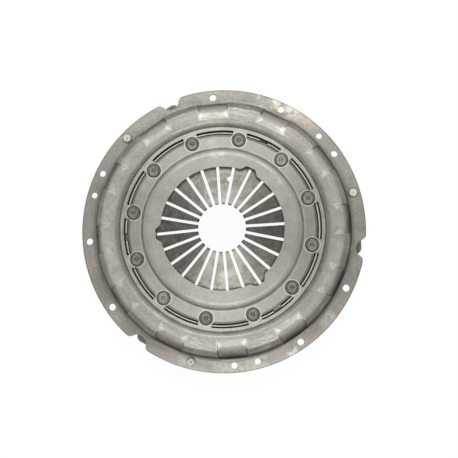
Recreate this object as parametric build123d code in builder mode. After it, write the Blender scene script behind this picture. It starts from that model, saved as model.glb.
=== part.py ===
"""Push-type diaphragm clutch cover assembly of the 395 mm class.

The axis is Z, with +Z towards the gearbox. Z = 0 is the underside of the cover's flange, which seats on the
flywheel. Lengths are in millimetres and angles in degrees. The spring is drawn in its free state.
"""

import os
from math import cos, degrees, radians, sin, sqrt, tan

from build123d import *

os.makedirs("parts", exist_ok=True)

# Cover pressing: widths of the outer skin's bands, inwards from the bolt circle, and their heights
sheet = 5.0
bolt_circle_r = 216.5
rim_width = 11.5
foot_set_back = 11.0
wall_run = 8.0
crest_width = 30.0
dome_run = 5.0
land_inner_width = 14.5
step_run = 7.0
lip_width = 23.8
land_z = 40.0
dome_rise = 6.5
lip_rise = 7.0
foot_fillet = 7.0
shoulder_fillet = 10.0
dome_fillet = 13.0
crease_fillet = 1.5
step_foot_fillet = 2.0
lip_fillet = 12.0

# Pressed recesses in the hump, between the rivets
recess_count = 12
recess_foot_set_back = 1.5
recess_shoulder_set_back = 5.5
recess_shoulder_drop = 3.5
recess_crest_set_back = 24.0
recess_floor_half = 22.0
recess_end_slope = 65.0
recess_end_reach = 8.0
recess_shoulder_fillet = 20.0

# Rim of the flange
bolt_sets = 3
dowel_hole_r = 4.75
bolt_hole_a_r = 5.05
bolt_hole_b_r = 5.25
bolt_hole_c_r = 5.45
dowel_angle = 40.0
bolt_a_angle = 30.0
bolt_b_angle = 60.0
bolt_c_angle = 90.0
notch_angle = 108.0
notch_arc_r = 14.5
notch_mouth_fillet = 9.0

# Windows in the land and the lip
slot_width = 7.3
slot_offset = 0.45
slot_half_angle = 11.0
slot_corner_fillet = 1.2
pocket_angle = 60.0
pocket_depth = 7.8
pocket_base_half = 13.6
pocket_top_half = 7.4
pocket_fillet = 4.5
spotface_margin = 1.6
spotface_depth = 0.8

# Fulcrum: wire rings and stepped rivets
fulcrum_set_back = 10.0
wire_d = 5.5
wire_flat_count = 8
upper_ring_gap_angle = 5.0
rivet_count = 12
rivet_phase = 15.0
rivet_shank_r = 6.45
rivet_neck_r = 5.2
rivet_head_r = 10.2
rivet_head_h = 3.2
rivet_head_edge = 1.4
collar_lap = 2.5
collar_h = 4.0

# Diaphragm spring
spring_t = 4.5
spring_overhang = 32.5
cone_angle = 12.0
tip_angle = 16.0
tip_r = 37.5
tip_length = 27.5
tip_bend_fillet = 60.0
finger_count = 24
finger_gap = 4.6
bite_r = 4.5
bite_offset = 41.5
bite_finger_angle = 75.0

# Pressure plate casting
plate_travel = 6.0
plate_thickness = 20.0
facing_width = 88.0
plate_overhang = 16.0
ridge_set_in = 3.0
ridge_base_half = 8.0
ridge_crown_half = 2.0
ridge_gap_count = 12
ridge_gap_half_angle = 4.0
ridge_gap_floor = 4.0
rib_count = 24
rib_set_out = 14.0
rib_width = 6.0
rib_h = 7.0
edge_chamfer = 1.5
lug_base_half = 24.0

# Drive straps and their rivets
strap_sets = 3
leaves_per_strap = 4
leaf_t = 0.95
leaf_pitch = 1.0
strap_width = 20.6
strap_flat = 14.0
strap_bend_r = 50.0
strap_cover_angle = 11.5
strap_plate_angle = -12.0
strap_rivet_r = 4.0
strap_head_r = 7.0
strap_head_h = 3.0
strap_head_edge = 1.2

# Clearances
seat_gap = 0.3
face_gap = 0.05
rivet_fit = 0.1
window_gap = 0.5
back_clearance = 2.0
lift_clearance = 1.0
blank_margin = 20.0
tail_clearance = 1.0
notch_clearance = 0.5

# Derived radii, from the bolt circle inwards, then from the fulcrum to the spring and the plate
flange_r = bolt_circle_r + rim_width
foot_r = bolt_circle_r - foot_set_back
shoulder_r = foot_r - wall_run
dome_in_r = shoulder_r - crest_width
land_out_r = dome_in_r - dome_run
fulcrum_r = land_out_r - fulcrum_set_back
slot_mid_r = fulcrum_r + slot_offset
rivet_circle_r = fulcrum_r - wire_d / 2 - seat_gap - rivet_shank_r
land_in_r = rivet_circle_r - land_inner_width
lip_step_r = land_in_r - step_run
lip_r = lip_step_r - lip_width
spotface_r = rivet_head_r + spotface_margin
collar_r = rivet_shank_r + seat_gap + wire_d / 2 + collar_lap
spring_out_r = fulcrum_r + spring_overhang
tip_bend_r = tip_r + tip_length
bite_circle_r = tip_r + bite_offset
ridge_r = spring_out_r - ridge_set_in
plate_r = ridge_r + plate_overhang
plate_bore_r = plate_r - facing_width
rib_in_r = plate_bore_r + rib_set_out
strap_plate_r = flange_r - notch_arc_r - notch_clearance

# Derived heights
crest_z = land_z + dome_rise
lip_z = land_z + lip_rise
land_under_z = land_z - sheet
cone_slope = tan(radians(cone_angle))
tip_slope = tan(radians(tip_angle))
spring_half_z = spring_t / 2 / cos(radians(cone_angle))
upper_wire_z = land_under_z - seat_gap - wire_d / 2
pivot_z = upper_wire_z - wire_d / 2 - seat_gap - spring_half_z
lower_wire_z = pivot_z - spring_half_z - seat_gap - wire_d / 2
collar_top_z = lower_wire_z - wire_d / 2 - seat_gap
plate_back_z = -plate_travel - back_clearance
face_z = plate_back_z - plate_thickness
ridge_crown_z = pivot_z - (ridge_r + ridge_crown_half - fulcrum_r) * cone_slope - spring_half_z - seat_gap
strap_stack = leaf_pitch * leaves_per_strap
strap_drop = plate_travel + strap_head_h + lift_clearance
lug_top_z = -face_gap - strap_stack - strap_drop
lug_under_z = face_z + tail_clearance + strap_head_h + face_gap
blank_r = flange_r + blank_margin
above_all = lip_z + blank_margin


def save(part, name):
    """Labels one finished piece and writes it under its own name."""
    part.label = name
    export_step(part, f"parts/{name}.step")


def annular_sector(inner_r, outer_r, half_angle):
    """A flat ring sector centred on the X axis."""
    with BuildSketch() as sector:
        with BuildLine():
            outer = CenterArc((0, 0), outer_r, -half_angle, 2 * half_angle)
            inner = CenterArc((0, 0), inner_r, -half_angle, 2 * half_angle)
            Line(inner @ 0, outer @ 0)
            Line(inner @ 1, outer @ 1)
        make_face()
    return sector.sketch


def pressing_section(inset):
    """The area under the cover's skin, or the same area drawn one inset inside it with plain corners."""
    corners = [
        (blank_r, sheet),
        (foot_r, sheet),
        (shoulder_r, crest_z),
        (dome_in_r, crest_z),
        (land_out_r, land_z),
        (land_in_r, land_z),
        (lip_step_r, lip_z),
        (0, lip_z),
    ]
    bends = [foot_fillet, shoulder_fillet, dome_fillet, crease_fillet, step_foot_fillet, lip_fillet]
    with BuildSketch(Plane.XZ) as section:
        with BuildLine():
            if inset:
                Polyline(*corners)
            else:
                FilletPolyline(*corners, radius=bends)
            Polyline((0, lip_z), (0, -blank_margin), (blank_r, -blank_margin), (blank_r, sheet))
        make_face()
        if inset:
            offset(amount=-inset, kind=Kind.INTERSECTION)
    return section.sketch


def recess_section(inset):
    """The area that one hump recess takes away, seen along the rim."""
    shoulder = (shoulder_r - recess_shoulder_set_back, crest_z - recess_shoulder_drop)
    slope = recess_shoulder_drop / (recess_crest_set_back - recess_shoulder_set_back)
    top = (shoulder[0] - (above_all - shoulder[1]) / slope, above_all)
    rim = blank_r + sheet
    with BuildSketch(Plane.XZ) as section:
        with BuildLine():
            FilletPolyline(
                top,
                shoulder,
                (foot_r - recess_foot_set_back, sheet),
                (rim, sheet),
                radius=[recess_shoulder_fillet, foot_fillet],
            )
            Polyline((rim, sheet), (rim, above_all), top)
        make_face()
        if inset:
            offset(amount=inset, kind=Kind.INTERSECTION)
    return section.sketch


def recess_tool(inset):
    """The solid that presses one recess: a flat floor with a sloped wall at each end."""
    section = recess_section(inset)
    floor_half = recess_floor_half + inset * tan(radians(recess_end_slope / 2))
    lift = recess_end_reach * sin(radians(recess_end_slope)) / sqrt(2)
    with BuildPart() as tool:
        extrude(section, amount=floor_half, both=True)
        for side in (-1, 1):
            end = section.moved(Location((0, side * floor_half, 0)))
            reach = Vector(lift, side * recess_end_reach * cos(radians(recess_end_slope)), lift)
            extrude(end, amount=recess_end_reach, dir=reach)
    return tool.part


# Cover: the skin less the same form drawn one sheet thickness inside it
skin_recess = recess_tool(0)
hollow_recess = recess_tool(sheet)

with BuildPart() as cover_hollow:
    revolve(pressing_section(sheet), axis=Axis.Z)
    with PolarLocations(0, recess_count):
        add(hollow_recess, mode=Mode.SUBTRACT)

with BuildSketch() as lip_opening:
    Circle(lip_r)
    with PolarLocations(0, bolt_sets, start_angle=pocket_angle):
        Polygon(
            (lip_r - pocket_depth, pocket_top_half - 2 * pocket_base_half),
            (lip_r + pocket_depth, -pocket_top_half),
            (lip_r + pocket_depth, pocket_top_half),
            (lip_r - pocket_depth, 2 * pocket_base_half - pocket_top_half),
        )
    fillet(lip_opening.vertices(), radius=pocket_fillet)

with BuildSketch() as slot_window:
    add(annular_sector(slot_mid_r - slot_width / 2, slot_mid_r + slot_width / 2, slot_half_angle))
    fillet(slot_window.vertices(), radius=slot_corner_fillet)

with BuildSketch(Plane.XY.offset(-sheet)) as cover_plan:
    Circle(flange_r)
    with PolarLocations(flange_r, strap_sets, start_angle=notch_angle):
        Circle(notch_arc_r, mode=Mode.SUBTRACT)
    fillet(cover_plan.vertices(), radius=notch_mouth_fillet)
    add(lip_opening.sketch, mode=Mode.SUBTRACT)
    with PolarLocations(0, recess_count):
        add(slot_window.sketch, mode=Mode.SUBTRACT)
    for hole_r, hole_angle in (
        (dowel_hole_r, dowel_angle),
        (bolt_hole_a_r, bolt_a_angle),
        (bolt_hole_b_r, bolt_b_angle),
        (bolt_hole_c_r, bolt_c_angle),
    ):
        with PolarLocations(bolt_circle_r, bolt_sets, start_angle=hole_angle):
            Circle(hole_r, mode=Mode.SUBTRACT)
    with PolarLocations(bolt_circle_r, strap_sets, start_angle=strap_cover_angle):
        Circle(strap_rivet_r + rivet_fit, mode=Mode.SUBTRACT)
    with PolarLocations(rivet_circle_r, rivet_count, start_angle=rivet_phase):
        Circle(rivet_neck_r + rivet_fit, mode=Mode.SUBTRACT)

with BuildSketch(Plane.XY.offset(land_z - spotface_depth)) as spotfaces:
    with PolarLocations(rivet_circle_r, rivet_count, start_angle=rivet_phase):
        Circle(spotface_r)

with BuildPart() as cover:
    revolve(pressing_section(0), axis=Axis.Z)
    with PolarLocations(0, recess_count):
        add(skin_recess, mode=Mode.SUBTRACT)
    add(cover_hollow.part, mode=Mode.SUBTRACT)
    extrude(cover_plan.sketch, amount=above_all, mode=Mode.INTERSECT)
    extrude(spotfaces.sketch, amount=spotface_depth * 2, mode=Mode.SUBTRACT)
save(cover.part, "cover")


def wire_ring(height, gap_angle, segments):
    """A fulcrum wire, its round section drawn with flats, whole or as one of several equal segments."""
    sweep_angle = 360 / segments - gap_angle
    with BuildSketch(Plane.XZ) as section:
        with Locations((fulcrum_r, height)):
            RegularPolygon(wire_d / 2, wire_flat_count)
    with BuildPart() as ring:
        revolve(section.sketch, axis=Axis.Z, revolution_arc=sweep_angle)
    return ring.part


# Fulcrum wires: three segments above the spring, one whole ring below it
for number in range(bolt_sets):
    segment = wire_ring(upper_wire_z, upper_ring_gap_angle, bolt_sets)
    turn = pocket_angle + number * 360 / bolt_sets + upper_ring_gap_angle / 2
    save(segment.rotate(Axis.Z, turn), f"upper_ring_{number + 1}")
save(wire_ring(lower_wire_z, 0, 1), "lower_fulcrum_ring")


def spring_section():
    """The diaphragm spring's cone and its steeper finger tips, in the XZ plane."""
    bend_z = pivot_z + (fulcrum_r - tip_bend_r) * cone_slope
    tip_z = bend_z + (tip_bend_r - tip_r) * tip_slope
    rim_z = pivot_z - (spring_out_r - fulcrum_r) * cone_slope
    with BuildSketch(Plane.XZ) as section:
        with BuildLine():
            upper = FilletPolyline(
                (spring_out_r, rim_z + spring_half_z),
                (tip_bend_r, bend_z + spring_half_z),
                (tip_r, tip_z + spring_half_z),
                radius=tip_bend_fillet,
            )
            lower = FilletPolyline(
                (spring_out_r, rim_z - spring_half_z),
                (tip_bend_r, bend_z - spring_half_z),
                (tip_r, tip_z - spring_half_z),
                radius=tip_bend_fillet,
            )
            Line(upper @ 0, lower @ 0)
            Line(upper @ 1, lower @ 1)
        make_face()
    return section.sketch


# Diaphragm spring: 24 slots that end in round windows, half of which pass the rivets
window_r = rivet_shank_r + window_gap
slot_length = rivet_circle_r - tip_r / 2
with BuildSketch() as finger_slots:
    with PolarLocations(0, finger_count):
        with Locations((rivet_circle_r - slot_length / 2, 0)):
            Rectangle(slot_length, finger_gap)
        with Locations((rivet_circle_r, 0)):
            Circle(window_r)
    bite_angle = bite_finger_angle + degrees(finger_gap / 2 / bite_circle_r)
    with PolarLocations(bite_circle_r, 1, start_angle=bite_angle):
        Circle(bite_r)

with BuildPart() as diaphragm_spring:
    revolve(spring_section(), axis=Axis.Z)
    extrude(finger_slots.sketch, amount=above_all, mode=Mode.SUBTRACT)
save(diaphragm_spring.part, "diaphragm_spring")


def fulcrum_rivet():
    """One stepped rivet: head, neck in the cover, shank past the spring and a collar below it."""
    head_base_z = land_z - spotface_depth + face_gap
    head_z = head_base_z + rivet_head_h
    with BuildSketch(Plane.XZ) as section:
        with BuildLine():
            Polyline(
                (0, collar_top_z - collar_h),
                (collar_r, collar_top_z - collar_h),
                (collar_r, collar_top_z),
                (rivet_shank_r, collar_top_z),
                (rivet_shank_r, land_under_z - face_gap),
                (rivet_neck_r, land_under_z - face_gap),
                (rivet_neck_r, head_base_z),
                (rivet_head_r, head_base_z),
                (rivet_head_r, head_z - rivet_head_edge),
                (rivet_head_r - rivet_head_edge, head_z),
                (0, head_z),
                close=True,
            )
        make_face()
    with BuildPart() as rivet:
        revolve(section.sketch, axis=Axis.Z)
    return rivet.part


# Fulcrum rivets: twelve alike in one node
one_rivet = fulcrum_rivet()
with BuildPart() as fulcrum_rivets:
    with PolarLocations(rivet_circle_r, rivet_count, start_angle=rivet_phase):
        add(one_rivet)
save(fulcrum_rivets.part, "fulcrum_rivets")

# Pressure plate: annular casting with a gapped fulcrum ridge, back ribs and three drive lugs
with BuildSketch(Plane.XZ) as plate_section:
    with Locations(((plate_bore_r + plate_r) / 2, face_z + plate_thickness / 2)):
        Rectangle(plate_r - plate_bore_r, plate_thickness)
    chamfer(plate_section.vertices(), length=edge_chamfer)

with BuildSketch(Plane.XZ) as ridge_section:
    with BuildLine():
        Polyline(
            (ridge_r - ridge_base_half, plate_back_z - edge_chamfer),
            (ridge_r - ridge_crown_half, ridge_crown_z),
            (ridge_r + ridge_crown_half, ridge_crown_z),
            (ridge_r + ridge_base_half, plate_back_z - edge_chamfer),
            close=True,
        )
    make_face()

with BuildSketch(Plane.XY.offset(plate_back_z + ridge_gap_floor)) as ridge_gaps:
    gap_reach = 2 * ridge_base_half
    with PolarLocations(0, ridge_gap_count):
        add(annular_sector(ridge_r - gap_reach, ridge_r + gap_reach, ridge_gap_half_angle))

with BuildSketch(Plane.XY.offset(plate_back_z - edge_chamfer)) as plate_ribs:
    rib_length = ridge_r - rib_in_r
    with PolarLocations((ridge_r + rib_in_r) / 2, rib_count, start_angle=180 / rib_count):
        Rectangle(rib_length, rib_width)

lug_thickness = lug_top_z - lug_under_z
with BuildSketch(Plane.XY.offset(lug_under_z)) as plate_lugs:
    Circle((plate_r + ridge_r) / 2)
    with PolarLocations(0, strap_sets, start_angle=strap_plate_angle):
        with Locations((strap_plate_r, 0)):
            Circle(strap_width / 2)
        Polygon(
            (ridge_r, -lug_base_half),
            (strap_plate_r, -strap_width / 2),
            (strap_plate_r, strap_width / 2),
            (ridge_r, lug_base_half),
        )
    Circle(ridge_r, mode=Mode.SUBTRACT)

with BuildPart() as pressure_plate:
    revolve(plate_section.sketch, axis=Axis.Z)
    revolve(ridge_section.sketch, axis=Axis.Z)
    extrude(ridge_gaps.sketch, amount=above_all, mode=Mode.SUBTRACT)
    extrude(plate_ribs.sketch, amount=rib_h + edge_chamfer)
    extrude(plate_lugs.sketch, amount=lug_thickness)
    with Locations(Location((0, 0, lug_top_z - lug_thickness / 2))):
        with PolarLocations(strap_plate_r, strap_sets, start_angle=strap_plate_angle):
            Cylinder(strap_rivet_r + rivet_fit, lug_thickness * 2, mode=Mode.SUBTRACT)
save(pressure_plate.part, "pressure_plate")


def strap_frame(number):
    """The vertical plane along one strap, from its cover rivet to its plate rivet, and the strap's length."""
    turn = number * 360 / strap_sets
    cover_angle = radians(strap_cover_angle + turn)
    plate_angle = radians(strap_plate_angle + turn)
    start = Vector(bolt_circle_r * cos(cover_angle), bolt_circle_r * sin(cover_angle), 0)
    end = Vector(strap_plate_r * cos(plate_angle), strap_plate_r * sin(plate_angle), 0)
    run = end - start
    return Plane(origin=start, x_dir=run, z_dir=run.cross(Vector(0, 0, 1))), run.length


def strap_leaf(number, layer):
    """One leaf, stacked below its neighbour by the leaf pitch, that steps down towards the plate lug."""
    side, length = strap_frame(number)
    top_z = -face_gap - layer * leaf_pitch
    low_z = top_z - strap_drop
    overhang = strap_width / 2
    with BuildSketch(side) as profile:
        with BuildLine():
            lines = [
                FilletPolyline(
                    (-overhang, top_z - depth),
                    (strap_flat, top_z - depth),
                    (length - strap_flat, low_z - depth),
                    (length + overhang, low_z - depth),
                    radius=strap_bend_r,
                )
                for depth in (0, leaf_t)
            ]
            Line(lines[0] @ 0, lines[1] @ 0)
            Line(lines[0] @ 1, lines[1] @ 1)
        make_face()
    floor = Plane(origin=side.origin, x_dir=side.x_dir, z_dir=(0, 0, 1)).offset(-above_all)
    with BuildSketch(floor) as plan:
        with Locations((length / 2, 0)):
            SlotCenterToCenter(length, strap_width)
        with Locations((0, 0), (length, 0)):
            Circle(strap_rivet_r + rivet_fit, mode=Mode.SUBTRACT)
    with BuildPart() as leaf:
        extrude(profile.sketch, amount=strap_width, both=True)
        extrude(plan.sketch, amount=2 * above_all, mode=Mode.INTERSECT)
    return leaf.part


def strap_rivet(head_seat_z, tail_seat_z):
    """A two-headed rivet that clamps everything between its two seats."""
    head_z = head_seat_z + strap_head_h
    tail_z = tail_seat_z - strap_head_h
    with BuildSketch(Plane.XZ) as section:
        with BuildLine():
            Polyline(
                (0, tail_z),
                (strap_head_r - strap_head_edge, tail_z),
                (strap_head_r, tail_z + strap_head_edge),
                (strap_head_r, tail_seat_z),
                (strap_rivet_r, tail_seat_z),
                (strap_rivet_r, head_seat_z),
                (strap_head_r, head_seat_z),
                (strap_head_r, head_z - strap_head_edge),
                (strap_head_r - strap_head_edge, head_z),
                (0, head_z),
                close=True,
            )
        make_face()
    with BuildPart() as rivet:
        revolve(section.sketch, axis=Axis.Z)
    return rivet.part


# Drive straps: three packs of leaves
for number in range(strap_sets):
    for layer in range(leaves_per_strap):
        save(strap_leaf(number, layer), f"strap_leaf_{number + 1}_{layer + 1}")

# Strap rivets: three alike through the cover, and three alike through the plate's lugs
cover_rivet = strap_rivet(sheet + face_gap, -face_gap - strap_stack - face_gap)
plate_rivet = strap_rivet(-strap_drop, lug_under_z - face_gap)
with BuildPart() as cover_strap_rivets:
    with PolarLocations(bolt_circle_r, strap_sets, start_angle=strap_cover_angle):
        add(cover_rivet)
save(cover_strap_rivets.part, "cover_strap_rivets")

with BuildPart() as plate_strap_rivets:
    with PolarLocations(strap_plate_r, strap_sets, start_angle=strap_plate_angle):
        add(plate_rivet)
save(plate_strap_rivets.part, "plate_strap_rivets")
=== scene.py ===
"""A truck clutch cover assembly on a pale floor, seen from the gearbox side."""

from math import cos, pi, radians, sin

import bmesh
import bpy
from mathutils import Matrix, Vector


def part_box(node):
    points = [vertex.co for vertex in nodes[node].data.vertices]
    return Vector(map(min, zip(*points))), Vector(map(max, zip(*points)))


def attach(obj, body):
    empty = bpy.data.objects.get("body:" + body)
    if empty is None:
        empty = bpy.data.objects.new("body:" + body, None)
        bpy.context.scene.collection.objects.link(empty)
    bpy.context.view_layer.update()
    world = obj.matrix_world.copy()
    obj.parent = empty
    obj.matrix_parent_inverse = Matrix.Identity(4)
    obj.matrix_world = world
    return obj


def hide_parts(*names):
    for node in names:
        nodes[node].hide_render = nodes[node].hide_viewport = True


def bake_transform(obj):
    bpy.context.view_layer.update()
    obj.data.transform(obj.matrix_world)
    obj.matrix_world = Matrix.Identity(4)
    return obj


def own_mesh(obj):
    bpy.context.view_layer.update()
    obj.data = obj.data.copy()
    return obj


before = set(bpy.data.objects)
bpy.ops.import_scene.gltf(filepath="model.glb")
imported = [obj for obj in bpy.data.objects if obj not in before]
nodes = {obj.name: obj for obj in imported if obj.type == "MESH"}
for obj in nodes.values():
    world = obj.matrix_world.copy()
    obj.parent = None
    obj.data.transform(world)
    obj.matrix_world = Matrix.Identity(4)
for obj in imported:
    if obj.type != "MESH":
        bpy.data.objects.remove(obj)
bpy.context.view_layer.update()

# Lengths are in metres and angles in degrees, apart from the lens, which is in millimetres.

# Camera: over the gearbox side, a little towards the bottom of the picture
CAMERA_DISTANCE = 1.80
CAMERA_TILT = 5.1
CAMERA_SIDE = 292.0
CAMERA_LENS = 87.9
VIEW_TURN = 4.62
AIM_RIGHT = 0.0087
AIM_UP = 0.0026

# Stage: the camera sees mostly a glow on the floor and the wall, and a little of their matt white
STAGE_RADIUS = 14.0
STAGE_HEIGHT = 6.0
STAGE_SIDES = 72
FLOOR_GAP = 0.0004
FLOOR_WHITE = 0.75
BACKDROP_SHARE = 0.9
BACKDROP_GLOW = 1.05

# Light: a key box at the top of the picture, a weaker one at the bottom, and an even grey world
KEY_POWER = 20.5
KEY_ANGLE = 90.0
KEY_RISE = 54.0
LOW_POWER = 17.0
LOW_ANGLE = 276.0
LOW_RISE = 62.0
LAMP_DISTANCE = 1.9
LAMP_LENGTH = 1.5
LAMP_WIDTH = 0.8
WORLD_GREY = 0.11

# Sizes of the pieces that are drawn again in finer form, as the frame has them
THIRD_TURN = 120.0
RING_RADIUS = 0.1525
WIRE_RADIUS = 0.00275
WIRE_STEPS = 180
WIRE_SIDES = 20
UPPER_RING_START = 62.5
UPPER_RING_SWEEP = 115.0
RIVET_COUNT = 12
RIVET_CIRCLE = 0.143
RIVET_PHASE = 15.0
RIVET_SIDES = 40
RIVET_SHARP_ANGLE = 50.0
HEAD_RADIUS = 0.0102
HEAD_HEIGHT = 0.0032
HEAD_EDGE = 0.0014
NECK_RADIUS = 0.0052
NECK_HEIGHT = 0.0043
SHANK_RADIUS = 0.00645
COLLAR_RADIUS = 0.012
COLLAR_HEIGHT = 0.004
DIMPLE_RADIUS = 0.0030
DIMPLE_DEPTH = 0.0008
DISH_RADIUS = 0.0078
DISH_DEPTH = 0.0004
DISH_LIP = 0.0006
CRISP_EDGE = 0.0002
STRAP_COVER_ANGLE = 11.5
STRAP_COVER_RADIUS = 0.2165

# Radii and heights of the features that carry wear and painted light and shade. The wires' painted
# highlight lies a little outside their middle.
RIM_RADIUS = 0.2277
WIRE_HIGHLIGHT_SHIFT = 0.0005
SPOTFACE_RADIUS = 0.0118
STRAP_HEAD_RADIUS = 0.007
STRAP_HEAD_RIM = 0.0035
FRICTION_FACE_Z = -0.028
FLANGE_Z = 0.005
STRAP_HEAD_Z = 0.008
LAND_Z = 0.030
HUMP_SIDE_Z = 0.040
RIVET_HEAD_Z = 0.0424
CREST_Z = 0.044
FINGERS_Z = 0.046

# Colours of the wear, and of the painted shade and painted highlights
# Grime, and the colour of the painted shade in creases, hollows, slot edges and at rims
GRIME_AND_SHADE = (0.045, 0.042, 0.037, 1.0)
SHADED_FOOT = (0.025, 0.022, 0.02, 1.0)
PIT_BLACK = (0.07, 0.065, 0.06, 1.0)
DULL_AND_SHADED_STEEL = (0.26, 0.245, 0.215, 1.0)
# Dirty steel, and painted shade on the land at the sides
DIRTY_STEEL_AND_SHADE = (0.30, 0.285, 0.25, 1.0)
BROWN_STAIN = (0.30, 0.255, 0.21, 1.0)
# Pale steel, and the painted highlight on the hump's recess floors
PALE_STEEL_AND_HIGHLIGHT = (0.70, 0.67, 0.60, 1.0)
WORN_STEEL = (0.72, 0.69, 0.62, 1.0)
TAN_STEEL = (0.75, 0.68, 0.56, 1.0)
CLEAN_AND_LIT_STEEL = (0.78, 0.75, 0.68, 1.0)
# Bare steel, and the colour of most painted highlights
BARE_STEEL_AND_HIGHLIGHT = (0.78, 0.76, 0.70, 1.0)
BRIGHT_STEEL = (0.85, 0.82, 0.76, 1.0)
# Rubbed steel, and painted highlights on the crest, the land and the lip
RUBBED_STEEL_AND_HIGHLIGHT = (0.92, 0.89, 0.82, 1.0)
SPRING_SCUFF = (0.10, 0.10, 0.085, 1.0)
SPRING_TIP = (0.36, 0.36, 0.35, 1.0)
SPRING_CLEAN_AND_LIT = (0.50, 0.485, 0.42, 1.0)
RIVET_SCALE = (0.09, 0.083, 0.075, 1.0)
RIVET_TAN = (0.44, 0.385, 0.30, 1.0)
GROUND_DARK = (0.34, 0.335, 0.32, 1.0)
GROUND_PALE = (0.52, 0.51, 0.48, 1.0)

# What every metal has: a fine grain, smudges darker than its dark colour, a soft unevenness and
# a sheen that varies. The quarter turn stretches highlights along the radius, as turning marks do.
GRAIN_SHARE = 0.4
GRAIN_DETAIL = 3.0
GRAIN_ROUGHNESS = 0.6
GRAIN_DEPTH = 0.00012
SMUDGE_DARKNESS = 0.62
UNEVEN_SCALE = 90.0
UNEVEN_DETAIL = 3.0
UNEVEN_DEPTH = 0.0006
UNEVEN_STRENGTH = 0.25
SHEEN_NOISE = (60.0, 4.0, 0.55, 0.25, 0.75)
SHEEN_BELOW = 0.06
SHEEN_ABOVE = 0.08
QUARTER_TURN = 0.25

# Blotches: scale, detail and roughness of a noise, then the two values between which they fade in,
# and their shares at those values
MOTTLING = (28.0, 5.0, 0.6, 0.3, 0.7, 0.0, 0.6)
SMUDGES = (260.0, 6.0, 0.8, 0.42, 0.6, 0.0, 0.5)
PITTED = (45.0, 4.0, 0.55, 0.5, 0.65, 0.0, 0.8)
NICKED = (25.0, 3.0, 0.55, 0.5, 0.62, 0.0, 0.8)
BROKEN = (70.0, 5.0, 0.65, 0.35, 0.6, 0.35, 1.0)
CLOUDED = (9.0, 3.0, 0.5, 0.3, 0.7, 0.0, 0.35)
# Blotches that break up the painted shade in the creases and on the wall
PATCHY_SHADE = (40.0, 4.0, 0.55, 0.35, 0.6, 0.65, 1.0)
FLAKED = (130.0, 6.0, 0.7, 0.4, 0.6, 0.25, 1.0)
BROAD_SPOTS = (75.0, 3.0, 0.5, 0.47, 0.52, 0.0, 0.62)
SMALL_SPOTS = (120.0, 3.0, 0.5, 0.47, 0.52, 0.0, 0.62)
SCUFFED = (140.0, 5.0, 0.7, 0.4, 0.62, 0.0, 0.55)
WIPED = (45.0, 5.0, 0.65, 0.38, 0.6, 0.1, 0.55)
SCALED = (420.0, 4.0, 0.75, 0.44, 0.58, 0.0, 0.65)

# Specks: scale and size
PITS = (260.0, 0.16)
NICKS = (95.0, 0.13)

# Streaks around the axis: scales along the radius and across it, then detail and roughness
STREAK_SCALES = (620.0, 75.0)
STREAK_NOISE = (4.0, 0.6)

# Bands of the cover: the radii where each starts and is full, and where it ends and is still full.
# The flange only starts.
LAND_BAND = (0.128, 0.133, 0.162, 0.158)
HUMP_BAND = (0.168, 0.176, 0.200, 0.194)
CREST_BAND = (0.174, 0.180, 0.200, 0.196)
WALL_BAND = (0.186, 0.192, 0.2055, 0.2040)
FLANGE_EDGE = (0.2085, 0.2130)

# Lines around the axis: middle radius, half width and strength. A strength over 1 widens the part of
# a line that is at its full.
# Painted shade in the creases at the hump's feet and the lip's step, down the hump's outer slope and on the
# flange beside it
CREASE_SHADE = (
    (0.1620, 0.0024, 0.72),
    (0.1650, 0.0052, 0.35),
    (0.1272, 0.0034, 0.5),
    (0.2030, 0.0036, 0.6),
    (0.1985, 0.0105, 0.55),
    (0.2070, 0.0055, 0.25),
)
# Pale rings, partly rubbed steel and partly painted highlights along the edges of the land
RUBBED_AND_HIGHLIGHT_RINGS = (
    (0.1602, 0.0018, 0.45),
    (0.1300, 0.0012, 0.4),
    (0.1571, 0.0007, 0.5),
    (0.1835, 0.0045, 0.15),
)
# Painted shade along the inner edge of the arc slots
SLOT_EDGE_SHADE = (0.1480, 0.0026, 0.6)
# Painted shade: the dark line at the foot of the hump's wall on its shaded side
FOOT_LINE = (0.2032, 0.0026, 1.2)
# Painted shade along the flange's outer rim
OUTER_RIM_SHADE = (RIM_RADIUS, 0.0015, 0.55)
# A paler track on the spring under the wires, partly rubbed and partly painted light where the slots shade
# it
RUBBED_AND_LIT_TRACK = (RING_RADIUS, 0.0036, 0.5)

# Lines around a rivet: middle radius, half width and strength
# Painted shade on each fulcrum rivet's spotface floor, and a painted highlight on its rim
SPOTFACE_SHADE = (SPOTFACE_RADIUS - 0.0012, 0.0012, 0.6)
SPOTFACE_HIGHLIGHT = (SPOTFACE_RADIUS + 0.0007, 0.0011, 0.75)
# A painted highlight ring on each fulcrum rivet's head, and painted shade at the edges of its dish, its
# dimple and its rim
HEAD_HIGHLIGHT_RING = (0.0052, 0.0011, 0.2)
HEAD_SHADE = (
    (DISH_RADIUS, 0.0009, 0.5),
    (DIMPLE_RADIUS, 0.0008, 0.55),
    (HEAD_RADIUS, 0.0016, 0.75),
)
# Painted shade at the rim of each strap rivet's head
STRAP_HEAD_RIM_SHADE = (STRAP_HEAD_RADIUS - 0.0006, 0.0012, 0.5)

# The ends of the hump's recesses: half length, the bright line there, partly burnished and partly painted
# highlight, and the place and size of the painted highlight in each corner
RECESS_HALF = 0.0237
RECESS_END_RUB_AND_HIGHLIGHT = (RECESS_HALF, 0.0013, 0.75)
CORNER_RADIUS = 0.183
CORNER_LENGTH = 0.0105
CORNER_HALF_WIDTH = 0.0092

# Fades: the value where each starts, the value where it is full, and its shares at the two
PALE_LIP = (0.163, 0.159, 0.0, 0.3)
# Painted highlight on the floors of the hump's recesses
RECESS_FLOOR_HIGHLIGHT = (RECESS_HALF, RECESS_HALF - 0.004, 0.0, 0.25)
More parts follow.
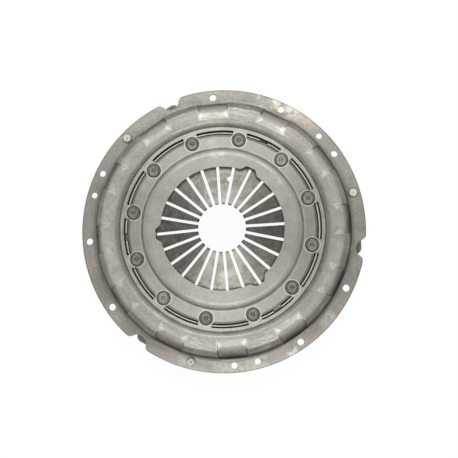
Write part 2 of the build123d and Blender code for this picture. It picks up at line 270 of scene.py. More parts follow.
# The shape of the painted highlight in each recess corner
CORNER_SLANT = (1.05, 0.7, 0.0, 1.0)
CORNER_CUT = (-0.0006, 0.0006, 0.0, 0.66)
TORN = (0.5, 0.62, 0.0, 1.0)
# How far up the wall the painted shade reaches, and the painted dark line at its foot
LOW_ON_WALL = (0.040, 0.010, 0.0, 0.9)
AT_FOOT = (0.020, 0.006, 0.0, 1.0)
IN_SLOT = (0.0292, 0.0278, 0.0, 1.0)
PALE_FINGER_ENDS = (0.060, 0.050, 0.0, 0.25)
BLACK_TIPS = (0.0402, 0.0385, 0.0, 0.85)
# Painted shade in the middle of each fulcrum rivet's dimple
HEAD_MIDDLE_SHADE = (0.0026, 0.0012, 0.0, 0.35)
STRAP_HEAD_MIDDLE = (0.0022, 0.0008, 0.0, 0.45)
# Painted shade down each wire's sides, and a painted highlight along its top
WIRE_FLANK_SHADE = (0.0010, 0.0019, 0.0, 0.95)
WIRE_TOP_HIGHLIGHT = (0.0012, 0.0004, 0.0, 0.8)
GROUND_FACE = (FRICTION_FACE_Z + 0.0006, FRICTION_FACE_Z + 0.0002, 0.0, 1.0)
GROUND_RINGS = (0.35, 0.65, 0.0, 1.0)

# Spots of wear, painted highlights and painted shade: angle, radius and reach
# Spots on the crest, the land and the lip, partly rubbed steel and partly painted highlights, most of them
# near 90 and 270 degrees where the lamps stand
CREST_RUBS_AND_HIGHLIGHTS = (
    (287.5, 0.186, 0.026),
    (252.0, 0.183, 0.016),
    (270.0, 0.188, 0.018),
    (76.0, 0.189, 0.028),
    (92.0, 0.184, 0.022),
    (53.0, 0.180, 0.020),
    (300.0, 0.181, 0.014),
    (92.0, 0.1385, 0.014),
    (91.3, 0.1160, 0.009),
    (86.0, 0.1170, 0.007),
    (147.6, 0.1440, 0.009),
    (33.7, 0.1155, 0.008),
    (300.0, 0.1400, 0.010),
    (20.0, 0.1200, 0.008),
)
BROWN_SPOTS = ((59.3, 0.219, 0.026), (65.0, 0.221, 0.016))
PALE_SPOTS = (
    (67.7, 0.224, 0.018),
    (55.3, 0.2235, 0.018),
    (62.5, 0.2245, 0.014),
    (295.0, 0.224, 0.014),
)
# Painted shade on the side of the hump's wall that faces away from the key light
WALL_SHADE = (305.0, 0.2045, 0.33)
# Cleaner, paler lower fingers, partly wiped and partly painted light
WIPED_AND_LIT_FINGERS = (263.0, 0.066, 0.058)
CREST_RUB_AND_HIGHLIGHT_SHARE = 0.62

# The flange's spots, with their colour and the blotches that break them up
FLANGE_SPOTS = ((BROWN_SPOTS, BROWN_STAIN, BROAD_SPOTS), (PALE_SPOTS, RUBBED_STEEL_AND_HIGHLIGHT, SMALL_SPOTS))

# The left and right sides: angle, share of the hump made paler and share of the land made darker, partly
# wear and partly painted light and shade, with the radius and the reach of each zone
SIDE_WEAR_AND_LIGHT = ((-4.6, 0.26, 0.45), (175.4, 0.45, 0.35))
SIDE_HUMP_RADIUS = 0.186
SIDE_HUMP_REACH = 0.16
SIDE_LAND_RADIUS = 0.145
SIDE_LAND_REACH = 0.13

# Patches on the flange, partly stains and partly painted light and shade, paler at the bottom and darker at
# the top and the right: angle, reach, share and colour
PATCH_RADIUS = 0.215
FLANGE_PATCHES_AND_LIGHT = (
    (268.0, 0.110, 0.6, CLEAN_AND_LIT_STEEL),
    (345.0, 0.120, 0.4, DULL_AND_SHADED_STEEL),
    (92.0, 0.080, 0.3, DULL_AND_SHADED_STEEL),
    (54.0, 0.060, 0.75, TAN_STEEL),
    (278.0, 0.055, 0.6, WORN_STEEL),
    (315.0, 0.020, 0.6, BRIGHT_STEEL),
    (250.0, 0.020, 0.6, BRIGHT_STEEL),
)

# The two fulcrum rivet heads that are rubbed to a paler tan
TAN_HEAD_ANGLES = (45.0, 225.0)
TAN_HEAD_REACH = 0.013
TAN_HEAD_SHARE = 0.6

# The share of a soft shape's size where it has reached its full strength
SOFT_CORE = 0.3
SPECK_CORE = 0.4

# Sockets of the Mix node for colours, which shares its sockets' names between kinds of value
MIX_SHARE = 0
MIX_FIRST = 6
MIX_SECOND = 7
MIX_RESULT = 2


def at(angle, radius, height=0.0):
    """A point of the frame from its angle, its radius and its height."""
    return (radius * cos(radians(angle)), radius * sin(radians(angle)), height)


def feed(tree, socket, value):
    """Sets a socket to a constant, or links it when the value is another socket."""
    if isinstance(value, bpy.types.NodeSocket):
        tree.links.new(value, socket)
    else:
        socket.default_value = value


def maths(tree, operation, first, second=0.0, clamp=False):
    """One Math node."""
    made = tree.nodes.new("ShaderNodeMath")
    made.operation = operation
    made.use_clamp = clamp
    feed(tree, made.inputs[0], first)
    feed(tree, made.inputs[1], second)
    return made.outputs[0]


def ramp(tree, value, low, high, out_low=0.0, out_high=1.0):
    """A smooth map from one range to another."""
    made = tree.nodes.new("ShaderNodeMapRange")
    made.interpolation_type = "SMOOTHSTEP"
    feed(tree, made.inputs["Value"], value)
    for key, number in (("From Min", low), ("From Max", high), ("To Min", out_low), ("To Max", out_high)):
        made.inputs[key].default_value = number
    return made.outputs["Result"]


def mixed(tree, share, first, second):
    """Two colours mixed by a share."""
    made = tree.nodes.new("ShaderNodeMix")
    made.data_type = "RGBA"
    feed(tree, made.inputs[MIX_SHARE], share)
    feed(tree, made.inputs[MIX_FIRST], first)
    feed(tree, made.inputs[MIX_SECOND], second)
    return made.outputs[MIX_RESULT]


def painted(tree, colour, tint, *masks):
    """A colour under a tint, as strong as the product of its masks, the last of which may be a number."""
    share = masks[0]
    for mask in masks[1:]:
        share = maths(tree, "MULTIPLY", share, mask)
    return mixed(tree, share, colour, tint)


def place(tree):
    """The position in the row frame."""
    return tree.nodes.new("ShaderNodeTexCoord").outputs["Object"]


def split_place(tree):
    """The three coordinates of the position."""
    parts = tree.nodes.new("ShaderNodeSeparateXYZ")
    feed(tree, parts.inputs[0], place(tree))
    return parts.outputs[0], parts.outputs[1], parts.outputs[2]


def plan_length(tree, x, y):
    """The length of a vector in plan."""
    squares = maths(tree, "ADD", maths(tree, "MULTIPLY", x, x), maths(tree, "MULTIPLY", y, y))
    return maths(tree, "SQRT", squares)


def plan_place(tree):
    """The radius in plan, and the distances along and across the middle line of the nearest hump recess."""
    x, y, _ = split_place(tree)
    radius = plan_length(tree, x, y)
    sector = 2 * pi / RIVET_COUNT
    angle = maths(tree, "ADD", maths(tree, "ARCTAN2", y, x), 2 * pi + sector / 2)
    turn = maths(tree, "SUBTRACT", maths(tree, "FLOORED_MODULO", angle, sector), sector / 2)
    along = maths(tree, "MULTIPLY", radius, maths(tree, "COSINE", turn))
    across = maths(tree, "ABSOLUTE", maths(tree, "MULTIPLY", radius, maths(tree, "SINE", turn)))
    return radius, along, across


def rivet_distance(tree, along, across):
    """Distance in plan from the nearest fulcrum rivet."""
    rivet = at(180 / RIVET_COUNT, RIVET_CIRCLE)
    gap_along = maths(tree, "SUBTRACT", along, rivet[0])
    gap_across = maths(tree, "SUBTRACT", across, rivet[1])
    return plan_length(tree, gap_along, gap_across)


def distance_from(tree, centre):
    """The distance from a point of the frame."""
    made = tree.nodes.new("ShaderNodeVectorMath")
    made.operation = "DISTANCE"
    feed(tree, made.inputs[0], place(tree))
    made.inputs[1].default_value = centre
    return made.outputs["Value"]


def noise(tree, scale, detail, roughness=0.55, where=None):
    """Solid noise over the position, or over another vector."""
    made = tree.nodes.new("ShaderNodeTexNoise")
    feed(tree, made.inputs["Vector"], where or place(tree))
    made.inputs["Scale"].default_value = scale
    made.inputs["Detail"].default_value = detail
    made.inputs["Roughness"].default_value = roughness
    return made.outputs["Fac"]


def blotches(tree, scale, detail, roughness, low, high, low_share, high_share):
    """Noise that goes from one share to another between two of its values."""
    return ramp(tree, noise(tree, scale, detail, roughness), low, high, low_share, high_share)


def specks(tree, scale, size):
    """Small round spots, 1 inside and 0 outside."""
    made = tree.nodes.new("ShaderNodeTexVoronoi")
    feed(tree, made.inputs["Vector"], place(tree))
    made.inputs["Scale"].default_value = scale
    return ramp(tree, made.outputs["Distance"], size, size * SPECK_CORE)


def streaks(tree, radius, across):
    """Noise drawn out around the axis: fine along the radius, and long across it."""
    made = tree.nodes.new("ShaderNodeCombineXYZ")
    feed(tree, made.inputs[0], maths(tree, "MULTIPLY", radius, STREAK_SCALES[0]))
    feed(tree, made.inputs[1], maths(tree, "MULTIPLY", across, STREAK_SCALES[1]))
    return noise(tree, 1.0, *STREAK_NOISE, where=made.outputs[0])


def near(tree, centre, reach):
    """1 about a point of the frame, falling to 0 at a distance from it."""
    return ramp(tree, distance_from(tree, centre), reach, reach * SOFT_CORE)


def line_at(tree, value, centre, half, strength):
    """A soft line where a value is near a number."""
    away = maths(tree, "ABSOLUTE", maths(tree, "SUBTRACT", value, centre))
    return ramp(tree, away, half, half * SOFT_CORE, 0.0, strength)


def band(tree, radius, start, full, end, still_full):
    """1 in a band between two radii, with soft sides."""
    inner = ramp(tree, radius, start, full)
    outer = ramp(tree, radius, end, still_full)
    return maths(tree, "MULTIPLY", inner, outer)


def bump(tree, height, distance, strength, normal=None):
    """A bump from a height value, over another bump if there is one."""
    made = tree.nodes.new("ShaderNodeBump")
    feed(tree, made.inputs["Height"], height)
    made.inputs["Distance"].default_value = distance
    made.inputs["Strength"].default_value = strength
    if normal:
        feed(tree, made.inputs["Normal"], normal)
    return made.outputs["Normal"]


def metal(name, pale, dark, rough, metallic=0.35, grain=700.0, grit=0.5, turned=0.0, wear_and_light=None):
    """Worked metal: mottling, a fine grain, dark smudges and pits, and its own wear, painted light and
    painted shade.
    """
    made = bpy.data.materials.new(name)
    made.use_nodes = True
    tree = made.node_tree
    shader = tree.nodes["Principled BSDF"]
    fine = noise(tree, grain, GRAIN_DETAIL, GRAIN_ROUGHNESS)
    grained = maths(tree, "MULTIPLY", fine, GRAIN_SHARE)
    share = maths(tree, "ADD", blotches(tree, *MOTTLING), grained, clamp=True)
    colour = mixed(tree, share, (*dark, 1.0), (*pale, 1.0))
    smudge = (*(SMUDGE_DARKNESS * part for part in dark), 1.0)
    colour = painted(tree, colour, smudge, blotches(tree, *SMUDGES))
    if wear_and_light:
        colour = wear_and_light(tree, colour)
    colour = painted(tree, colour, PIT_BLACK, specks(tree, *PITS), blotches(tree, *PITTED))
    feed(tree, shader.inputs["Base Color"], colour)
    shader.inputs["Metallic"].default_value = metallic
    shader.inputs["Anisotropic"].default_value = turned
    shader.inputs["Anisotropic Rotation"].default_value = QUARTER_TURN
    around = tree.nodes.new("ShaderNodeTangent")
    around.direction_type = "RADIAL"
    around.axis = "Z"
    feed(tree, shader.inputs["Tangent"], around.outputs["Tangent"])
    sheen = blotches(tree, *SHEEN_NOISE, rough - SHEEN_BELOW, rough + SHEEN_ABOVE)
    feed(tree, shader.inputs["Roughness"], sheen)
    uneven = bump(tree, noise(tree, UNEVEN_SCALE, UNEVEN_DETAIL), UNEVEN_DEPTH, UNEVEN_STRENGTH)
    feed(tree, shader.inputs["Normal"], bump(tree, fine, GRAIN_DEPTH, grit, uneven))
    return made


def strap_heads(height):
    """The middles of the heads of the three strap rivets on the flange."""
    return [at(STRAP_COVER_ANGLE + THIRD_TURN * k, STRAP_COVER_RADIUS, height) for k in range(3)]


def side_wear_and_light(tree, colour, radius, broken):
    """A paler hump and a darker land at the left and the right, partly wear and partly painted light and
    shade.
    """
    hump = band(tree, radius, *HUMP_BAND)
    land = band(tree, radius, *LAND_BAND)
    # Paler hump and darker land at the sides, partly painted light and shade
    for angle, rubbed_and_lit_share, dirt_and_shade_share in SIDE_WEAR_AND_LIGHT:
        rubbed_and_lit = near(tree, at(angle, SIDE_HUMP_RADIUS, HUMP_SIDE_Z), SIDE_HUMP_REACH)
        colour = painted(tree, colour, BARE_STEEL_AND_HIGHLIGHT, rubbed_and_lit, hump, broken, rubbed_and_lit_share)
        dirt_and_shade = near(tree, at(angle, SIDE_LAND_RADIUS, LAND_Z), SIDE_LAND_REACH)
        colour = painted(tree, colour, DIRTY_STEEL_AND_SHADE, dirt_and_shade, land, dirt_and_shade_share)
    return colour


def recess_highlights_and_wear(tree, colour, radius, across, broken):
    """Painted highlights on the floors and in the end corners of the hump's recesses, bright lines at their
    ends that are partly burnished and partly painted highlight, and spots that are partly rubbed and partly
    painted highlight.
    """
    crest = band(tree, radius, *CREST_BAND)
    # Painted highlight on the recess floors
    colour = painted(tree, colour, PALE_STEEL_AND_HIGHLIGHT, crest, ramp(tree, across, *RECESS_FLOOR_HIGHLIGHT), broken)
    # Bright lines at the recess ends, partly burnished and partly painted highlight
    colour = painted(tree, colour, BARE_STEEL_AND_HIGHLIGHT, crest, line_at(tree, across, *RECESS_END_RUB_AND_HIGHLIGHT), broken)
    within = maths(tree, "SUBTRACT", RECESS_HALF, across)
    off_middle = maths(tree, "ABSOLUTE", maths(tree, "SUBTRACT", radius, CORNER_RADIUS))
    length_share = maths(tree, "DIVIDE", within, CORNER_LENGTH)
    width_share = maths(tree, "DIVIDE", off_middle, CORNER_HALF_WIDTH)
    # Painted highlight in each corner of a recess end
    corner_highlight = ramp(tree, maths(tree, "ADD", length_share, width_share), *CORNER_SLANT)
    colour = painted(tree, colour, BARE_STEEL_AND_HIGHLIGHT, corner_highlight, ramp(tree, within, *CORNER_CUT))
    torn = ramp(tree, streaks(tree, radius, across), *TORN)
    # Spots partly rubbed and partly painted highlights
    for angle, from_axis, reach in CREST_RUBS_AND_HIGHLIGHTS:
        rubbed_and_lit = near(tree, at(angle, from_axis, CREST_Z), reach)
        colour = painted(tree, colour, RUBBED_STEEL_AND_HIGHLIGHT, rubbed_and_lit, torn, CREST_RUB_AND_HIGHLIGHT_SHARE)
    return colour


def painted_wall_shade(tree, colour, radius, patchy_shade):
    """Painted shade low on the hump's wall at one side, where it faces away from the key light, and a dark
    line of painted shade at the wall's foot there.
    """
    angle, from_axis, reach = WALL_SHADE
    shaded_side = near(tree, at(angle, from_axis, FLANGE_Z), reach)
    wall = band(tree, radius, *WALL_BAND)
    height = split_place(tree)[2]
    # Painted shade low on the wall, and a darker painted line at its foot
    colour = painted(tree, colour, GRIME_AND_SHADE, shaded_side, wall, ramp(tree, height, *LOW_ON_WALL), patchy_shade)
    foot_line = line_at(tree, radius, *FOOT_LINE)
    return painted(tree, colour, SHADED_FOOT, shaded_side, foot_line, ramp(tree, height, *AT_FOOT))


def shade_and_grime(tree, colour, radius, across):
    """Painted shade in the creases, on the wall, along the arc slots and around the strap rivets."""
    patchy_shade = blotches(tree, *PATCHY_SHADE)
    # Painted shade in the creases, broken up by blotches
    for crease in CREASE_SHADE:
        colour = painted(tree, colour, GRIME_AND_SHADE, line_at(tree, radius, *crease), patchy_shade)
    colour = painted_wall_shade(tree, colour, radius, patchy_shade)
    # Painted shade along the inner edges of the arc slots
    in_slot = ramp(tree, across, *IN_SLOT)
    colour = painted(tree, colour, GRIME_AND_SHADE, in_slot, line_at(tree, radius, *SLOT_EDGE_SHADE))
    # Painted shade on the flange around the strap rivets' heads
    for spot in strap_heads(FLANGE_Z):
        colour = painted(tree, colour, GRIME_AND_SHADE, near(tree, spot, STRAP_HEAD_RADIUS + STRAP_HEAD_RIM))
    return colour


def flange_wear_and_light(tree, colour, radius):
    """Soft patches on the flange, partly stains and partly painted light and shade, and crisp spots."""
    flaked = blotches(tree, *FLAKED)
    on_flange = ramp(tree, radius, *FLANGE_EDGE)
    # Patches partly painted light and shade
    for angle, reach, share, tint in FLANGE_PATCHES_AND_LIGHT:
        patch = near(tree, at(angle, PATCH_RADIUS, FLANGE_Z), reach)
        colour = painted(tree, colour, tint, patch, flaked, on_flange, share)
    for spots, tint, kind in FLANGE_SPOTS:
        crisp = blotches(tree, *kind)
        for angle, from_axis, reach in spots:
            spot = near(tree, at(angle, from_axis, FLANGE_Z), reach)
            colour = painted(tree, colour, tint, spot, crisp)
    return colour


def cover_wear_light_and_shade(tree, colour):
    """All the wear of the cover, with its painted light and shade, from its broad tones to its fine rings.
    """
    radius, along, across = plan_place(tree)
    broken = blotches(tree, *BROKEN)
    colour = painted(tree, colour, PALE_STEEL_AND_HIGHLIGHT, ramp(tree, radius, *PALE_LIP))
    colour = painted(tree, colour, DIRTY_STEEL_AND_SHADE, blotches(tree, *CLOUDED))
    colour = side_wear_and_light(tree, colour, radius, broken)
    colour = recess_highlights_and_wear(tree, colour, radius, across, broken)
    colour = painted(tree, colour, BARE_STEEL_AND_HIGHLIGHT, specks(tree, *NICKS), blotches(tree, *NICKED))
    colour = shade_and_grime(tree, colour, radius, across)
    # Pale rings, partly painted highlights along edges
    for ring in RUBBED_AND_HIGHLIGHT_RINGS:
        colour = painted(tree, colour, BARE_STEEL_AND_HIGHLIGHT, line_at(tree, radius, *ring), broken)
    from_rivet = rivet_distance(tree, along, across)
    # Painted shade and a painted highlight ring around each fulcrum rivet
    colour = painted(tree, colour, GRIME_AND_SHADE, line_at(tree, from_rivet, *SPOTFACE_SHADE))
    colour = painted(tree, colour, BARE_STEEL_AND_HIGHLIGHT, line_at(tree, from_rivet, *SPOTFACE_HIGHLIGHT))
    colour = flange_wear_and_light(tree, colour, radius)
    # Painted shade along the flange's outer rim
    return painted(tree, colour, GRIME_AND_SHADE, line_at(tree, radius, *OUTER_RIM_SHADE))


def spring_wear_and_light(tree, colour):
    """Scuffs, a paler track under the wires that is partly rubbed and partly painted light, cleaner lower
    fingers that are partly wiped and partly painted light, paler finger ends and black tips.
    """
    radius, _, _ = plan_place(tree)
    colour = painted(tree, colour, SPRING_SCUFF, blotches(tree, *SCUFFED))
    # Paler track under the wires, partly painted light
    colour = painted(tree, colour, BARE_STEEL_AND_HIGHLIGHT, line_at(tree, radius, *RUBBED_AND_LIT_TRACK))
    # Cleaner lower fingers, partly painted light
    angle, from_axis, reach = WIPED_AND_LIT_FINGERS
    wiped_and_lit = near(tree, at(angle, from_axis, FINGERS_Z), reach)
    colour = painted(tree, colour, SPRING_CLEAN_AND_LIT, wiped_and_lit, blotches(tree, *WIPED))
    colour = painted(tree, colour, SPRING_TIP, ramp(tree, radius, *PALE_FINGER_ENDS))
    return painted(tree, colour, GRIME_AND_SHADE, ramp(tree, radius, *BLACK_TIPS))


def rivet_wear_and_shade(tree, colour):
    """Dark scale, two heads rubbed to a paler tan, painted shade at the edges of each head's shape and in
    its middle, and a painted highlight ring.
    """
    colour = painted(tree, colour, RIVET_SCALE, blotches(tree, *SCALED))
    for angle in TAN_HEAD_ANGLES:
        head = near(tree, at(angle, RIVET_CIRCLE, RIVET_HEAD_Z), TAN_HEAD_REACH)
        colour = painted(tree, colour, RIVET_TAN, head, TAN_HEAD_SHARE)
    _, along, across = plan_place(tree)
    away = rivet_distance(tree, along, across)
    # Painted shade at the edges of the head's shape and in its middle, and a painted highlight ring
    for ring in HEAD_SHADE:
        colour = painted(tree, colour, GRIME_AND_SHADE, line_at(tree, away, *ring))
    colour = painted(tree, colour, GRIME_AND_SHADE, ramp(tree, away, *HEAD_MIDDLE_SHADE))
    return painted(tree, colour, BARE_STEEL_AND_HIGHLIGHT, line_at(tree, away, *HEAD_HIGHLIGHT_RING))


def wire_light_and_shade(tree, colour):
    """A painted highlight along the top of each wire, and painted shade down its sides."""
    radius, _, _ = plan_place(tree)
    off_top = maths(tree, "ABSOLUTE", maths(tree, "SUBTRACT", radius, RING_RADIUS + WIRE_HIGHLIGHT_SHIFT))
    # Painted shade down the wire's sides, then a painted highlight along its top
    colour = painted(tree, colour, GRIME_AND_SHADE, ramp(tree, off_top, *WIRE_FLANK_SHADE))
    return painted(tree, colour, BARE_STEEL_AND_HIGHLIGHT, ramp(tree, off_top, *WIRE_TOP_HIGHLIGHT))


def iron_wear(tree, colour):
    """The friction face, ground pale with fine rings."""
    radius, _, across = plan_place(tree)
    face = ramp(tree, split_place(tree)[2], *GROUND_FACE)
    rings = ramp(tree, streaks(tree, radius, across), *GROUND_RINGS)
    return mixed(tree, face, colour, mixed(tree, rings, GROUND_DARK, GROUND_PALE))


def strap_head_marks_and_shade(tree, colour):
    """Painted shade in a ring at the rim of each strap rivet's pale head, and a dark middle."""
    for spot in strap_heads(STRAP_HEAD_Z):
        away = distance_from(tree, spot)
        # Painted shade at the rim of the head
        colour = painted(tree, colour, GRIME_AND_SHADE, line_at(tree, away, *STRAP_HEAD_RIM_SHADE))
        colour = painted(tree, colour, GRIME_AND_SHADE, ramp(tree, away, *STRAP_HEAD_MIDDLE))
    return colour


def link(obj):
    """Puts a new object into the scene."""
    bpy.context.scene.collection.objects.link(obj)
    return obj


def dress(obj, made):
    """Gives an object one material."""
    obj.data.materials.clear()
    obj.data.materials.append(made)


def node_names(start):
    """The frame's nodes whose names start with a word, in order."""
    return sorted(name for name in nodes if name.startswith(start))


def copy_of(node_name, piece_name):
    """A free copy of a node, at the same place."""
    piece = link(bpy.data.objects.new(piece_name, nodes[node_name].data.copy()))
    piece.matrix_world = nodes[node_name].matrix_world.copy()
    return piece


def object_from(shape, name, made):
    """A new object from a finished bmesh, with one material."""
    data = bpy.data.meshes.new(name)
    shape.to_mesh(data)
    shape.free()
    piece = link(bpy.data.objects.new(name, data))
    dress(piece, made)
    return piece


def smooth(piece):
    """Shades every face of an object smooth."""
    for face in piece.data.polygons:
        face.use_smooth = True


def wire_rows(start, sweep, height, count):
    """Rings of points around a fulcrum wire, one at each step along it."""
    rows = []
    for step in range(count):
        angle = start + sweep * step / WIRE_STEPS
        row = []
        for k in range(WIRE_SIDES):
            turn = 2 * pi * k / WIRE_SIDES
            row.append(at(angle, RING_RADIUS + WIRE_RADIUS * cos(turn), height + WIRE_RADIUS * sin(turn)))
        rows.append(row)
    return rows


def skinned(rows, closed):
    """A bmesh over rings of points, closed on itself or with two flat ends."""
    shape = bmesh.new()
    rings = [[shape.verts.new(point) for point in row] for row in rows]
    count = len(rings[0])
    pairs = list(zip(rings, rings[1:])) + ([(rings[-1], rings[0])] if closed else [])
    for first, second in pairs:
        for k in range(count):
            after = (k + 1) % count
            shape.faces.new((first[k], second[k], second[after], first[after]))
    if not closed:
        shape.faces.new(rings[0])
        shape.faces.new(rings[-1][::-1])
    bmesh.ops.recalc_face_normals(shape, faces=shape.faces)
    return shape


def wire_piece(name, node_name, start, sweep):
    """A round fulcrum wire, whole or a part of a ring, at the height of its node."""
    low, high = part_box(node_name)
    whole = sweep >= 360
    rows = wire_rows(start, sweep, (low[2] + high[2]) / 2, WIRE_STEPS if whole else WIRE_STEPS + 1)
    piece = object_from(skinned(rows, whole), name, wire_steel)
    smooth(piece)
    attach(piece, "cover_side")
    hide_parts(node_name)


def rivet_profile():
    """Radius and height of one fulcrum rivet's outline, from the dimple down to the collar."""
    low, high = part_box("fulcrum_rivets")
    top = high[2]
    dish = top - DISH_DEPTH
    under = top - HEAD_HEIGHT
    neck_under = under - NECK_HEIGHT
    collar_top = low[2] + COLLAR_HEIGHT
    return [
        (0.0, dish - DIMPLE_DEPTH * 0.4),
        (DIMPLE_RADIUS * 0.35, dish - DIMPLE_DEPTH * 0.5),
        (DIMPLE_RADIUS * 0.8, dish - DIMPLE_DEPTH),
        (DIMPLE_RADIUS, dish),
        (DIMPLE_RADIUS * 1.2, top - DISH_DEPTH * 0.6),
        (DIMPLE_RADIUS * 1.6, dish),
        (DISH_RADIUS, top - DISH_DEPTH * 0.8),
        (DISH_RADIUS + DISH_LIP, top),
        (HEAD_RADIUS - HEAD_EDGE * 0.6, top - CRISP_EDGE),
        (HEAD_RADIUS - HEAD_EDGE * 0.2, top - HEAD_EDGE * 0.5),
        (HEAD_RADIUS, top - HEAD_EDGE),
        (HEAD_RADIUS, under + CRISP_EDGE),
        (HEAD_RADIUS - CRISP_EDGE, under),
        (NECK_RADIUS, under),
        (NECK_RADIUS, neck_under),
        (SHANK_RADIUS, neck_under),
        (SHANK_RADIUS, collar_top),
        (COLLAR_RADIUS - CRISP_EDGE, collar_top),
        (COLLAR_RADIUS, collar_top - CRISP_EDGE),
        (COLLAR_RADIUS, low[2] + CRISP_EDGE),
        (COLLAR_RADIUS - CRISP_EDGE, low[2]),
        (0.0, low[2]),
    ]


def add_rivet(shape, centre, profile):
    """Turns a rivet's outline about its own axis, into a bmesh."""
    first = shape.verts.new(centre + Vector((0, 0, profile[0][1])))
    last = shape.verts.new(centre + Vector((0, 0, profile[-1][1])))
    angles = [360 * k / RIVET_SIDES for k in range(RIVET_SIDES)]
    rings = [
        [shape.verts.new(centre + Vector(at(angle, radius, height))) for angle in angles]
        for radius, height in profile[1:-1]
    ]
    for k in range(RIVET_SIDES):
        after = (k + 1) % RIVET_SIDES
        shape.faces.new((first, rings[0][k], rings[0][after]))
        shape.faces.new((last, rings[-1][after], rings[-1][k]))
        for inner, outer in zip(rings, rings[1:]):
            shape.faces.new((inner[k], outer[k], outer[after], inner[after]))


def fulcrum_rivet_set():
    """The twelve fulcrum rivets with dished and dimpled heads."""
    profile = rivet_profile()
    shape = bmesh.new()
    for number in range(RIVET_COUNT):
        add_rivet(shape, Vector(at(RIVET_PHASE + 360 * number / RIVET_COUNT, RIVET_CIRCLE)), profile)
    bmesh.ops.recalc_face_normals(shape, faces=shape.faces)
    piece = object_from(shape, "fulcrum_rivet_set", dark_rivet_steel)
    smooth(piece)
    piece.data.set_sharp_from_angle(angle=radians(RIVET_SHARP_ANGLE))
    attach(piece, "cover_side")
    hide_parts("fulcrum_rivets")


def bending_spring():
    """A copy of the diaphragm spring with a mesh of its own, in place of its node."""
    piece = copy_of("diaphragm_spring", "spring_that_bends")
    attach(piece, "cover_side")
    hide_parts("diaphragm_spring")
    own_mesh(piece)


def bending_leaf(node_name):
    """A copy of a strap leaf with its place baked into its mesh, in place of its node."""
    piece = copy_of(node_name, node_name.replace("strap_leaf", "bending_leaf"))
    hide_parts(node_name)
    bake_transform(piece)


def stage_paper():
    """Matt white paper, which mostly glows where the camera, a gloss or a glass sees it."""
    paper = bpy.data.materials.new("stage_paper")
    paper.use_nodes = True
    tree = paper.node_tree
    tree.nodes.clear()
    output = tree.nodes.new("ShaderNodeOutputMaterial")
    matt = tree.nodes.new("ShaderNodeBsdfDiffuse")
    matt.inputs["Color"].default_value = (FLOOR_WHITE, FLOOR_WHITE, FLOOR_WHITE, 1.0)
    glow = tree.nodes.new("ShaderNodeEmission")
    glow.inputs["Strength"].default_value = BACKDROP_GLOW
    path = tree.nodes.new("ShaderNodeLightPath")
    seen = maths(tree, "MAXIMUM", path.outputs["Is Camera Ray"], path.outputs["Is Transmission Ray"])
    seen = maths(tree, "MAXIMUM", seen, path.outputs["Is Glossy Ray"])
    mix = tree.nodes.new("ShaderNodeMixShader")
    feed(tree, mix.inputs[0], maths(tree, "MULTIPLY", seen, BACKDROP_SHARE))
    feed(tree, mix.inputs[1], matt.outputs[0])
    feed(tree, mix.inputs[2], glow.outputs[0])
    feed(tree, output.inputs["Surface"], mix.outputs[0])
    return paper


def stage():
    """A pale round floor with a wall far behind, which keeps the object's soft shadow."""
    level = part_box("pressure_plate")[0][2] - FLOOR_GAP
    angles = [360 * k / STAGE_SIDES for k in range(STAGE_SIDES)]
    shape = bmesh.new()
    rim = [shape.verts.new(at(angle, STAGE_RADIUS, level)) for angle in angles]
    top = [shape.verts.new(at(angle, STAGE_RADIUS, STAGE_HEIGHT)) for angle in angles]
    shape.faces.new(rim)
    for k in range(STAGE_SIDES):
        after = (k + 1) % STAGE_SIDES
        shape.faces.new((rim[k], top[k], top[after], rim[after]))
    made = object_from(shape, "stage", stage_paper())


def soft_box(name, power, angle, rise):
    """An area light that faces the object, at an angle in the picture and a rise above the floor."""
    light = bpy.data.lights.new(name, "AREA")
    light.shape = "RECTANGLE"
    light.size = LAMP_LENGTH
    light.size_y = LAMP_WIDTH
    light.energy = power
    made = link(bpy.data.objects.new(name, light))
    flat = LAMP_DISTANCE * cos(radians(rise))
    made.location = at(angle - VIEW_TURN, flat, LAMP_DISTANCE * sin(radians(rise)))
    made.rotation_euler = (-made.location).to_track_quat("-Z", "Y").to_euler()


def lights():
    """The two boxes and a weak, even grey world."""
    soft_box("key_box", KEY_POWER, KEY_ANGLE, KEY_RISE)
    soft_box("low_box", LOW_POWER, LOW_ANGLE, LOW_RISE)
    world = bpy.data.worlds.new("studio")
    world.use_nodes = True
    background = world.node_tree.nodes["Background"]
    background.inputs["Color"].default_value = (1.0, 1.0, 1.0, 1.0)
    background.inputs["Strength"].default_value = WORLD_GREY
    bpy.context.scene.world = world


def camera():
    """The photograph's view, with the top of the picture towards +Y, less the view turn."""
    right = Vector(at(-VIEW_TURN, 1.0))
    up = Vector(at(90.0 - VIEW_TURN, 1.0))
    away = Vector(at(CAMERA_SIDE, sin(radians(CAMERA_TILT)), cos(radians(CAMERA_TILT))))
    upright = (up - up.dot(away) * away).normalized()
    across = upright.cross(away)
    data = bpy.data.cameras.new("camera")
    data.lens = CAMERA_LENS
    made = link(bpy.data.objects.new("camera", data))
    turn = Matrix((across, upright, away)).transposed().to_4x4()
    aim = right * AIM_RIGHT + up * AIM_UP
    made.matrix_world = Matrix.Translation(aim + away * CAMERA_DISTANCE) @ turn
    bpy.context.scene.camera = made


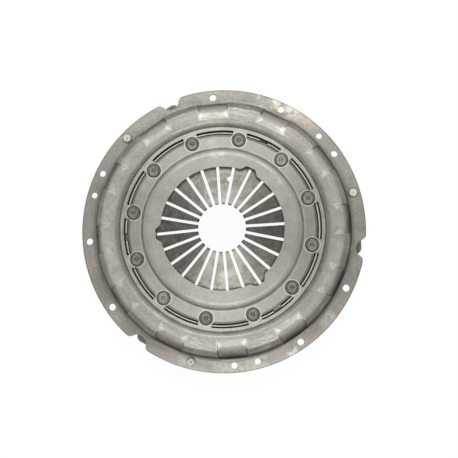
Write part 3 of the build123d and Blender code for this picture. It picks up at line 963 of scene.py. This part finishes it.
cover_steel = metal(
    "cover_steel", pale=(0.56, 0.53, 0.475), dark=(0.41, 0.385, 0.34), rough=0.44,
    metallic=0.44, turned=0.45, wear_and_light=cover_wear_light_and_shade,
)
spring_steel = metal(
    "spring_steel", pale=(0.335, 0.32, 0.27), dark=(0.22, 0.208, 0.175), rough=0.40,
    metallic=0.7, grain=1100.0, turned=0.7, wear_and_light=spring_wear_and_light,
)
wire_steel = metal(
    "wire_steel", pale=(0.48, 0.46, 0.41), dark=(0.32, 0.305, 0.27), rough=0.38, wear_and_light=wire_light_and_shade
)
dark_rivet_steel = metal(
    "dark_rivet_steel", pale=(0.36, 0.335, 0.295), dark=(0.19, 0.18, 0.16), rough=0.42,
    grit=0.6, wear_and_light=rivet_wear_and_shade,
)
bright_rivet_steel = metal(
    "bright_rivet_steel", pale=(1.0, 0.975, 0.89), dark=(0.88, 0.85, 0.76), rough=0.34,
    metallic=0.3, wear_and_light=strap_head_marks_and_shade,
)
strap_steel = metal("strap_steel", pale=(0.32, 0.32, 0.30), dark=(0.20, 0.20, 0.19), rough=0.40)
cast_iron = metal(
    "cast_iron", pale=(0.25, 0.245, 0.23), dark=(0.14, 0.14, 0.135), rough=0.60,
    metallic=0.2, grit=0.6, wear_and_light=iron_wear,
)

dress(nodes["cover"], cover_steel)
dress(nodes["diaphragm_spring"], spring_steel)
dress(nodes["pressure_plate"], cast_iron)
dress(nodes["cover_strap_rivets"], bright_rivet_steel)
dress(nodes["plate_strap_rivets"], dark_rivet_steel)
for leaf in node_names("strap_leaf"):
    dress(nodes[leaf], strap_steel)

for number, ring in enumerate(node_names("upper_ring")):
    wire_piece(f"upper_wire_{number + 1}", ring, UPPER_RING_START + THIRD_TURN * number, UPPER_RING_SWEEP)
wire_piece("lower_wire", "lower_fulcrum_ring", 0, 360)
fulcrum_rivet_set()
bending_spring()
for leaf in node_names("strap_leaf"):
    bending_leaf(leaf)

stage()
lights()
camera()
bpy.context.scene.view_settings.view_transform = "Standard"
